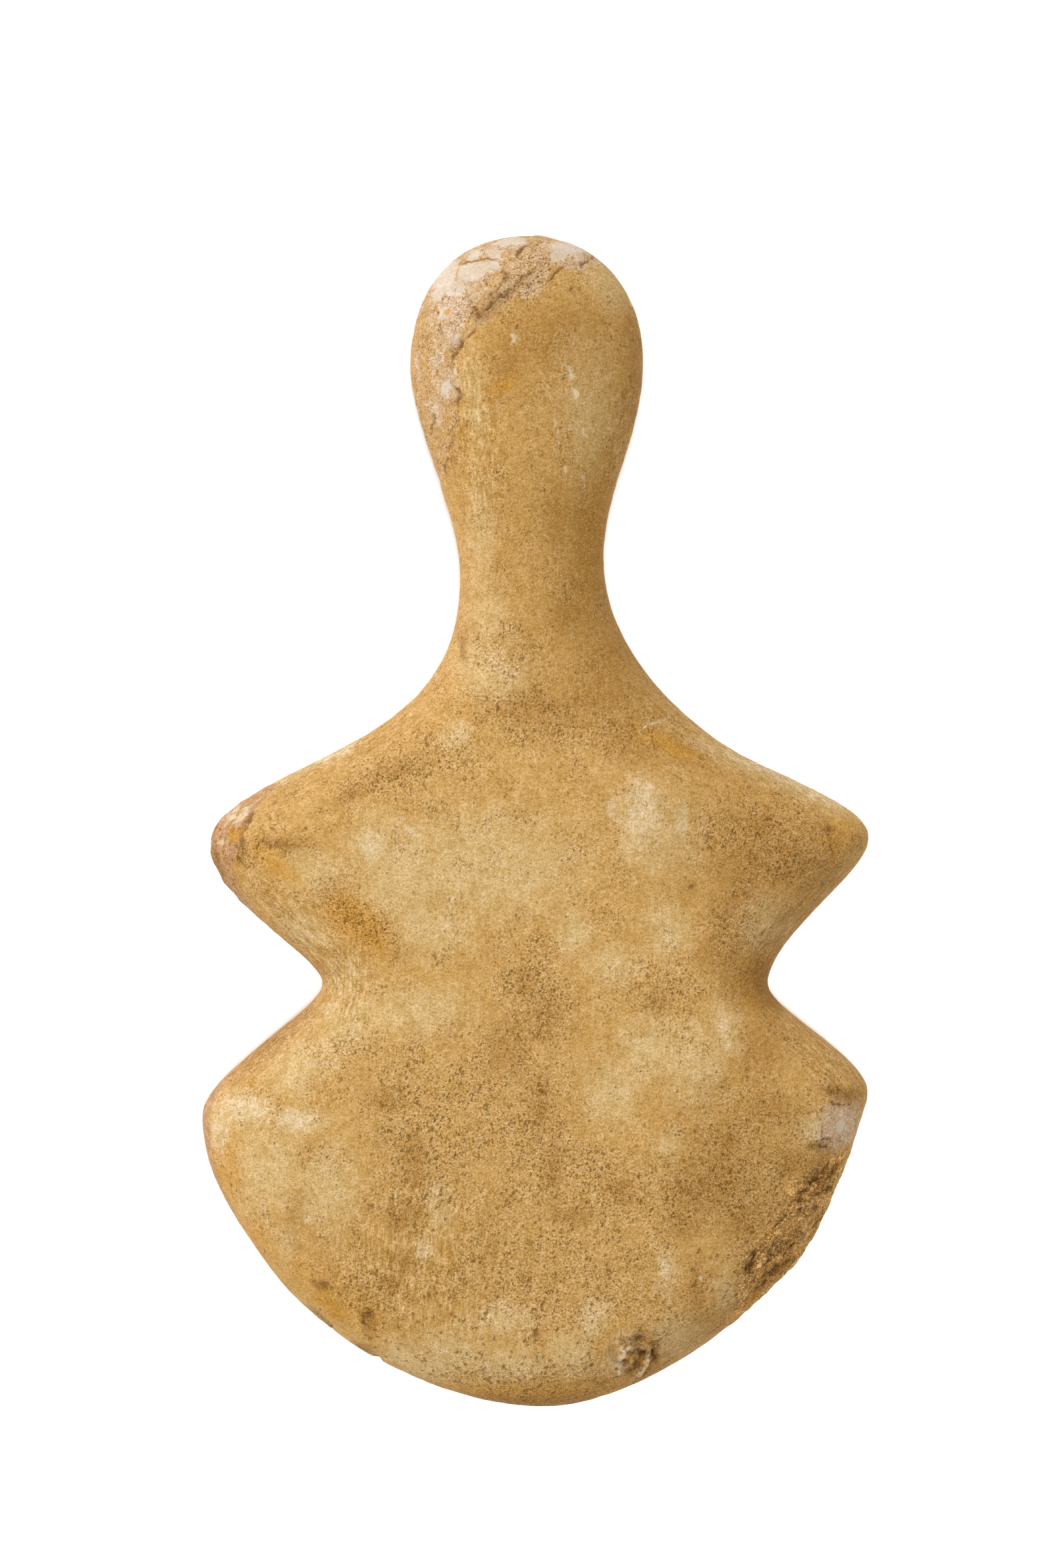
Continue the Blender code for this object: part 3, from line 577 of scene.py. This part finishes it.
for name, patches in (
    ("pale_area", pale_areas), ("cream_area", cream_areas), ("golden_area", golden_areas),
    ("brown_area", brown_areas), ("dirt_area", dirt_areas), ("ochre_area", ochre_areas),
    ("upright_strokes", upright_strokes), ("falling_strokes", falling_strokes),
    ("rising_strokes", rising_strokes),
):
    paint_front(name, level_in(wandering, patches))
paint_front("bare_marble", bare)
paint_front("cream_marble", cream)
paint_front("flaked_crown", flaked)
paint_front("sandy_band", band)
paint_front("lime_crust", crust)
paint_front("worn_facet", np.maximum(tip, hip))
# Painted highlight on the edges that face the left and the head, and painted shade on those that face the
# right and the foot, set by the way each point's normal points
paint_front("painted_highlight_edge", -0.85 * normals[:, 0] + 0.35 * normals[:, 1] - 0.55)
paint_front("painted_shade_edge", 0.80 * normals[:, 0] - 0.45 * normals[:, 1] - 0.45)
# Painted shade, a darker colour towards the head, the neck and the right side
paint("painted_shade_zone", smooth_between(-0.1, 0.7, level_in(points, shade_zone_areas)))

# The longer scratches show faintly, and the bruises plainly.
scratched = np.minimum.reduce([nearest_on(wandering, line) for line in scratches])
bruised = np.minimum.reduce([nearest_on(wandering, line) for line in bruises])
paint_front("scratch", np.maximum(0.15 - scratched / 0.25, 0.65 - bruised / 0.32))
paint("crack", np.maximum.reduce([crack_mask, pit_mask, in_scar * crevices * 0.55]))

# How many pocks there are, and how densely pits and dark grains crowd, from 0 to 1
pocked = smooth_between(-0.1, 0.5, level_in(wandering, pocked_areas)) * off_floor
paint("pocked", pocked)
crowding = 0.18 + 0.50 * smooth_between(-0.25, 0.75, level_in(wandering, crowded_areas))
crowding += 0.30 * smooth_between(-0.2, 0.6, level_in(wandering, densest_areas))
crowding += 0.45 * lumps(points, 2.6, 3, seed=7)
crowding += 0.25 * smooth_between(-0.2, 0.5, level_in(wandering, dirt_areas))
crowding += 0.18 * in_band + 0.18 * in_flaked + 0.10 * in_crust
crowding -= 0.16 * smooth_between(-0.3, 0.6, level_in(wandering, pale_areas)) + 0.22 * pocked
paint("crowding", np.clip(crowding, 0.04, 1) * (1 - 0.85 * in_bare) * (0.4 + 0.6 * off_floor))


# The finish: white marble under an ochre patina, speckled with dark grains and streaked by the rubbing.
def shader_group(name, inputs, outputs):
    """An empty node group with named sockets, and its input and output nodes."""
    group = bpy.data.node_groups.new(name, "ShaderNodeTree")
    for direction, sockets in (("INPUT", inputs), ("OUTPUT", outputs)):
        for label, kind, value in sockets:
            socket = group.interface.new_socket(label, in_out=direction, socket_type=f"NodeSocket{kind}")
            if value is not None:
                socket.default_value = value
    return group, group.nodes.new("NodeGroupInput").outputs, group.nodes.new("NodeGroupOutput").inputs


def feed(tree, node, values):
    """Links the node's inputs to other nodes' sockets, or sets them to plain values."""
    for key, value in values.items():
        if isinstance(value, bpy.types.NodeSocket):
            tree.links.new(value, node.inputs[key])
        else:
            node.inputs[key].default_value = value


def wire(tree, kind, values=None, **settings):
    """A new node with these settings and inputs."""
    node = tree.nodes.new(kind)
    for key, value in settings.items():
        setattr(node, key, value)
    feed(tree, node, values or {})
    return node


def maths(tree, operation, *values):
    return wire(tree, "ShaderNodeMath", dict(enumerate(values)), operation=operation).outputs[0]


def ramp_between(tree, value, low, high):
    """0 below low, 1 above high, and smooth between."""
    links = {"Value": value, "From Min": low, "From Max": high}
    return wire(tree, "ShaderNodeMapRange", links, interpolation_type="SMOOTHSTEP").outputs["Result"]


def grain_noise(tree, vector, scale, detail, roughness=0.6):
    links = {"Vector": vector, "Scale": scale, "Detail": detail, "Roughness": roughness}
    return wire(tree, "ShaderNodeTexNoise", links).outputs["Fac"]


def mixed(tree, blend, strength, first, second):
    mix = wire(tree, "ShaderNodeMix", data_type="RGBA", blend_type=blend)
    feed(tree, mix, {0: strength, 6: first, 7: second})
    return mix.outputs[2]


def tint(tree, mask, under, over):
    """The colour over laid on the colour under, as strongly as the mask says."""
    return mixed(tree, "MIX", mask, under, over)


def toned(tree, noise, dark, light, strength, colour):
    """The colour multiplied by a tone that runs from dark to light with the noise."""
    return mixed(tree, "MULTIPLY", strength, colour, tint(tree, noise, dark, light))


def grouped(tree, group, values):
    """Places a group in the tree, and gives its outputs."""
    node = wire(tree, "ShaderNodeGroup", node_tree=group)
    feed(tree, node, values)
    return node.outputs


def ragged_area_group():
    """A painted area whose soft edge is broken up by the grain of the stone."""
    sockets = [("Level", "Float", 0.0), ("Grain", "Float", 0.0), ("Raggedness", "Float", 0.5),
               ("Softness", "Float", 0.2)]
    group, given, result = shader_group("ragged area", sockets, [("Mask", "Float", None)])
    level = maths(group, "MULTIPLY_ADD", given["Grain"], given["Raggedness"], given["Level"])
    half = maths(group, "MULTIPLY", given["Softness"], 0.5)
    mask = ramp_between(group, level, maths(group, "MULTIPLY", half, -1.0), half)
    group.links.new(mask, result["Mask"])
    return group


def specks_group():
    """Small uneven grains, one to a cell of this Size at most: the amounts are the shares of cells that
    hold a dark grain or a pale speck, a painted glint for the light that a grain catches."""
    sockets = [("Place", "Vector", None), ("Shake", "Vector", None), ("Size", "Float", 0.5),
               ("Dark Amount", "Float", 0.5), ("Glint Amount", "Float", 0.0)]
    results = [("Dark", "Float", None), ("Light", "Float", None)]
    group, given, result = shader_group("specks", sockets, results)
    shake = wire(group, "ShaderNodeVectorMath", {0: given["Shake"]}, operation="SCALE")
    group.links.new(maths(group, "MULTIPLY", given["Size"], 1.1), shake.inputs["Scale"])
    spot = wire(group, "ShaderNodeVectorMath", {0: given["Place"], 1: shake.outputs[0]}, operation="ADD")
    per_mm = maths(group, "DIVIDE", 1.0, given["Size"])
    cells = wire(group, "ShaderNodeTexVoronoi", {"Vector": spot.outputs[0], "Scale": per_mm})
    chance = wire(group, "ShaderNodeSeparateColor", {"Color": cells.outputs["Color"]}).outputs
    radius = maths(group, "MULTIPLY_ADD", chance["Green"], 0.26, 0.22)
    grain = ramp_between(group, cells.outputs["Distance"], radius, maths(group, "MULTIPLY", radius, 0.45))
    dark = maths(group, "LESS_THAN", chance["Red"], given["Dark Amount"])
    light = maths(group, "GREATER_THAN", chance["Red"], maths(group, "SUBTRACT", 1.0, given["Glint Amount"]))
    group.links.new(maths(group, "MULTIPLY", grain, dark), result["Dark"])
    group.links.new(maths(group, "MULTIPLY", grain, light), result["Light"])
    return group


ragged_area = ragged_area_group()
specks = specks_group()


def aged_marble():
    material = bpy.data.materials.new("aged_marble")
    material.use_nodes = True
    tree = material.node_tree
    shader = tree.nodes["Principled BSDF"]
    place = wire(tree, "ShaderNodeMapping", {"Vector": wire(tree, "ShaderNodeTexCoord").outputs["Object"],
                                             "Scale": (1 / MM, 1 / MM, 1 / MM)}).outputs["Vector"]

    def painted(name):
        return wire(tree, "ShaderNodeAttribute", attribute_name=name).outputs["Fac"]

    def area(name, softness):
        return ramp_between(tree, painted(name), -softness / 2, softness / 2)

    def uneven(scale, detail, roughness):
        """Natural unevenness on both sides of zero."""
        return maths(tree, "MULTIPLY_ADD", grain_noise(tree, place, scale, detail, roughness), 2.0, -1.0)

    broad = uneven(0.50, 5.0, 0.65)
    close = uneven(1.5, 4.0, 0.70)
    fine = grain_noise(tree, place, 4.4, 2.0, 0.7)

    def ragged(name, grain, raggedness, softness):
        links = {"Level": painted(name), "Grain": grain, "Raggedness": raggedness, "Softness": softness}
        return grouped(tree, ragged_area, links)["Mask"]

    def stretched(angle, across, along):
        """The place, turned so that strokes at this angle run along Y, and drawn out along them."""
        turn = {"Vector": place, "Rotation": (0, 0, math.radians(90 - angle))}
        turned = wire(tree, "ShaderNodeMapping", turn).outputs["Vector"]
        stretch = {"Vector": turned, "Scale": (across, along, across)}
        return wire(tree, "ShaderNodeMapping", stretch).outputs["Vector"]

    def share(mask, part):
        return maths(tree, "MULTIPLY", mask, part)

    marble = ragged("bare_marble", close, 0.45, 0.50)
    creamy = ragged("cream_marble", close, 0.95, 1.0)
    flaked_part = ragged("flaked_crown", close, 0.5, 0.6)
    sandy = ragged("sandy_band", close, 0.9, 1.0)
    crusted = ragged("lime_crust", broad, 1.4, 2.2)
    facet = ragged("worn_facet", broad, 0.5, 0.6)

    def stained(colour, stains):
        """The colour under a row of stains, each given as its mask, its share and its own colour."""
        for mask, part, stain in stains:
            colour = tint(tree, share(mask, part), colour, stain)
        return colour

    # The patina, from its ground colour to the areas that are paler, richer or dirtier, and the painted shade
    # and highlights laid over it
    ground = (0.59, 0.338, 0.092, 1)
    colour = stained(ground, (
        (ragged("brown_area", broad, 0.55, 1.4), 0.55, (0.39, 0.187, 0.034, 1)),
        (ragged("pale_area", broad, 0.50, 1.5), 0.72, (0.675, 0.470, 0.185, 1)),
        (ragged("golden_area", broad, 0.60, 1.3), 0.62, (0.58, 0.280, 0.034, 1)),
        (ragged("cream_area", close, 0.90, 1.3), 0.50, (0.77, 0.600, 0.320, 1)),
        # Painted shade towards the head, the neck and the right side
        (painted("painted_shade_zone"), 0.34, (0.36, 0.175, 0.030, 1)),
        # A painted highlight on the edges towards the left and the head, and painted shade on those towards
        # the right and the foot
        (ragged("painted_highlight_edge", broad, 0.50, 0.8), 0.12, (0.70, 0.440, 0.215, 1)),
        (ragged("painted_shade_edge", broad, 0.50, 0.8), 0.45, (0.36, 0.170, 0.025, 1)),
        (facet, 0.75, (0.50, 0.275, 0.118, 1)),
    ))

    # The crown: cream and pinkish stone under the lost patina, with rust in its seams
    seamed = grain_noise(tree, stretched(57, 1.1, 0.6), 1.0, 4.0, 0.7)
    seams = maths(tree, "MULTIPLY", ramp_between(tree, seamed, 0.50, 0.62), flaked_part)
    vein_gap = maths(tree, "ABSOLUTE", close)
    veins = maths(tree, "MULTIPLY", ramp_between(tree, vein_gap, 0.060, 0.010),
                  maths(tree, "MAXIMUM", creamy, flaked_part))
    colour = stained(colour, (
        (flaked_part, 0.85, (0.575, 0.350, 0.128, 1)),
        (seams, 0.50, (0.50, 0.270, 0.080, 1)),
        (creamy, 0.75, (0.63, 0.460, 0.265, 1)),
        (marble, 0.88, (0.64, 0.550, 0.425, 1)),
        (veins, 0.50, (0.50, 0.235, 0.070, 1)),
        (sandy, 0.80, (0.58, 0.375, 0.165, 1)),
    ))

    # The lime crust, rusty brown with dark cavities, and the dirt and ochre that lie on everything
    rusty = maths(tree, "MULTIPLY", ramp_between(tree, seamed, 0.54, 0.66), crusted)
    cavities = maths(tree, "MULTIPLY", ramp_between(tree, seamed, 0.46, 0.38), crusted)
    crevices = maths(tree, "MULTIPLY", ramp_between(tree, vein_gap, 0.060, 0.015), crusted)
    colour = stained(colour, (
        (crusted, 0.80, (0.84, 0.450, 0.115, 1)),
        (rusty, 0.55, (0.80, 0.420, 0.100, 1)),
        (cavities, 0.40, (0.32, 0.145, 0.022, 1)),
        (crevices, 0.50, (0.18, 0.075, 0.012, 1)),
        (ragged("dirt_area", close, 1.0, 1.1), 0.55, (0.27, 0.122, 0.018, 1)),
        (ragged("ochre_area", close, 0.5, 0.6), 0.80, (0.56, 0.275, 0.035, 1)),
    ))

    # The mottling, from slow to fine, and the strokes of the rubbing. Both are weaker on the bare marble.
    crowding = painted("crowding")
    dressed = maths(tree, "SUBTRACT", 1.0, share(marble, 0.80))
    for noise, low, high, dark, light, strength in (
        (broad, -0.40, 0.40, (0.93, 0.91, 0.84, 1), (1.07, 1.09, 1.18, 1), 1.0),
        (close, -0.40, 0.40, (0.90, 0.86, 0.74, 1), (1.10, 1.14, 1.30, 1), dressed),
        (fine, 0.30, 0.70, (0.62, 0.53, 0.26, 1), (1.28, 1.41, 2.10, 1),
         maths(tree, "MULTIPLY", dressed, maths(tree, "MULTIPLY_ADD", crowding, 0.75, 0.48))),
    ):
        colour = toned(tree, ramp_between(tree, noise, low, high), dark, light, strength, colour)
    strokes = []
    for name, angle, least in (
        ("upright_strokes", 86, 0.20), ("falling_strokes", -46, 0.0), ("rising_strokes", 48, 0.0),
    ):
        stroke = ramp_between(tree, grain_noise(tree, stretched(angle, 2.6, 0.5), 1.0, 2.0, 0.65), 0.32, 0.68)
        where = maths(tree, "MAXIMUM", area(name, 1.4), least)
        amount = maths(tree, "MULTIPLY", where, dressed)
        colour = toned(tree, stroke, (0.79, 0.72, 0.54, 1), (1.14, 1.19, 1.36, 1), amount, colour)
        strokes.append(maths(tree, "MULTIPLY", stroke, where))

    # Single grains with pale specks among them as painted glints, the hollows between them and the larger
    # pocks, rusty where there are few of them
    drift = wire(tree, "ShaderNodeTexNoise", {"Vector": place, "Scale": 5.0, "Detail": 1.0}).outputs["Color"]
    both_ways = {0: drift, 1: (0.5, 0.5, 0.5)}
    shake = wire(tree, "ShaderNodeVectorMath", both_ways, operation="SUBTRACT").outputs[0]
    grains = grouped(tree, specks, {
        "Place": stretched(80, 1.15, 0.85), "Shake": shake, "Size": 0.30,
        "Dark Amount": maths(tree, "MULTIPLY_ADD", crowding, 0.62, 0.03),
        "Glint Amount": maths(tree, "MULTIPLY", dressed, 0.34)})
    hollows = grouped(tree, specks, {
        "Place": stretched(70, 1.15, 0.75), "Shake": shake, "Size": 0.46,
        "Dark Amount": maths(tree, "MULTIPLY_ADD", crowding, 0.62, -0.05), "Glint Amount": 0.0})
    pocks = grouped(tree, specks, {
        "Place": stretched(60, 1.1, 0.8), "Shake": shake, "Size": 0.62,
        "Dark Amount": share(painted("pocked"), 0.36), "Glint Amount": 0.0})
    rust = maths(tree, "MAXIMUM", creamy, maths(tree, "SUBTRACT", 0.95, crowding))
    cracked = maths(tree, "MULTIPLY", painted("crack"), ramp_between(tree, close, -0.5, 0.1))
    colour = stained(colour, (
        (grains["Dark"], 0.78, tint(tree, rust, (0.23, 0.100, 0.012, 1), (0.42, 0.195, 0.034, 1))),
        (hollows["Dark"], 0.70, tint(tree, rust, (0.22, 0.095, 0.012, 1), (0.42, 0.188, 0.028, 1))),
        (pocks["Dark"], 0.66, (0.30, 0.138, 0.018, 1)),
        # Painted glints: pale specks for the light that the grains catch
        (grains["Light"], 0.42, (0.92, 0.710, 0.380, 1)),
        (ragged("scratch", close, 0.8, 1.1), 0.52, (0.84, 0.690, 0.450, 1)),
        (cracked, 0.80, (0.14, 0.060, 0.014, 1)),
    ))
    tree.links.new(colour, shader.inputs["Base Color"])

    rough = maths(tree, "MULTIPLY_ADD", marble, -0.20, 0.66)
    rough = maths(tree, "MULTIPLY_ADD", crusted, 0.15, rough)
    tree.links.new(maths(tree, "MULTIPLY_ADD", fine, 0.10, rough), shader.inputs["Roughness"])
    shader.inputs["Specular IOR Level"].default_value = 0.10

    # The grain as bump, plainer on the bare marble
    crust_grain = maths(tree, "MULTIPLY", seamed, area("lime_crust", 2.0))
    height = fine
    for part, rise in (
        (grains["Dark"], -0.8), (hollows["Dark"], -1.4), (pocks["Dark"], -1.8), (grains["Light"], 0.4),
        (close, 0.45), (crust_grain, 2.4), (crevices, -1.2), *((stroke, 0.7) for stroke in strokes),
    ):
        height = maths(tree, "MULTIPLY_ADD", part, rise, height)
    covered = maths(tree, "SUBTRACT", 1.0, share(area("bare_marble", 0.5), 0.85))
    height = maths(tree, "MULTIPLY", height, covered)
    bump = wire(tree, "ShaderNodeBump", {"Height": height, "Distance": 0.10 * MM, "Strength": 1.0})
    tree.links.new(bump.outputs["Normal"], shader.inputs["Normal"])
    return material


idol = bpy.data.objects.new("idol_skin", skin)
bpy.context.scene.collection.objects.link(idol)
skin.materials.clear()
skin.materials.append(aged_marble())
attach(idol, "root")
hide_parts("idol")

# The floor is a sheet of plain white paper that lies under the idol. It runs so far past the picture that
# none of its edges shows.
bpy.ops.mesh.primitive_plane_add(size=6)
floor = bpy.context.object
floor.name = "floor"
paper = bpy.data.materials.new("white_paper")
paper.use_nodes = True
paper.node_tree.nodes["Principled BSDF"].inputs["Base Color"].default_value = (0.88, 0.88, 0.88, 1)
paper.node_tree.nodes["Principled BSDF"].inputs["Roughness"].default_value = 0.9
floor.data.materials.append(paper)


# The studio has a soft lamp for the idol, above and to the left of the head, and one straight above that
# keeps the paper white. Even light comes from all round.
def light_only(lamp, *pieces):
    """The lamp shines on these pieces and on nothing else."""
    lit = bpy.data.collections.new(lamp.name + "_lit")
    for piece in pieces:
        lit.objects.link(piece)
    lamp.light_linking.receiver_collection = lit


key_data = bpy.data.lights.new("key_lamp", "AREA")
key_data.shape = "DISK"
key_data.size = 0.36
key_data.energy = 6.4
key_lamp = bpy.data.objects.new("key_lamp", key_data)
key_lamp.location = (-0.52, 0.40, 0.74)
key_lamp.rotation_euler = (-key_lamp.location).to_track_quat("-Z", "Y").to_euler()
bpy.context.scene.collection.objects.link(key_lamp)
light_only(key_lamp, idol)

paper_data = bpy.data.lights.new("paper_lamp", "SUN")
paper_data.energy = 2.7
paper_data.angle = math.radians(8)
paper_lamp = bpy.data.objects.new("paper_lamp", paper_data)
bpy.context.scene.collection.objects.link(paper_lamp)
light_only(paper_lamp, floor)

world = bpy.context.scene.world or bpy.data.worlds.new("studio")
bpy.context.scene.world = world
world.use_nodes = True
world.node_tree.nodes["Background"].inputs["Color"].default_value = (1.0, 1.0, 1.0, 1)
world.node_tree.nodes["Background"].inputs["Strength"].default_value = 0.62

# The camera looks straight down on the idol, which has the place and the size in the picture that it has in
# the photo of 1568 by 2352 pixels, where it is 1753 pixels tall.
PHOTO_HEIGHT = 2352
PHOTO_MIDDLE = (784, 1176)
IDOL_MIDDLE = (803.5, 1232.25)
PIXEL = IDOL_HEIGHT * MM / 1753
WIDEST_LEVEL = 8 * MM
LENS = 100
SENSOR = 36
camera_data = bpy.data.cameras.new("camera")
camera_data.lens = LENS
camera_data.sensor_width = SENSOR
camera = bpy.data.objects.new("camera", camera_data)
camera.location = (
    (PHOTO_MIDDLE[0] - IDOL_MIDDLE[0]) * PIXEL,
    (IDOL_MIDDLE[1] - PHOTO_MIDDLE[1]) * PIXEL,
    WIDEST_LEVEL + PHOTO_HEIGHT * PIXEL * LENS / SENSOR,
)
bpy.context.scene.collection.objects.link(camera)
bpy.context.scene.camera = camera
bpy.context.scene.view_settings.view_transform = "Standard"
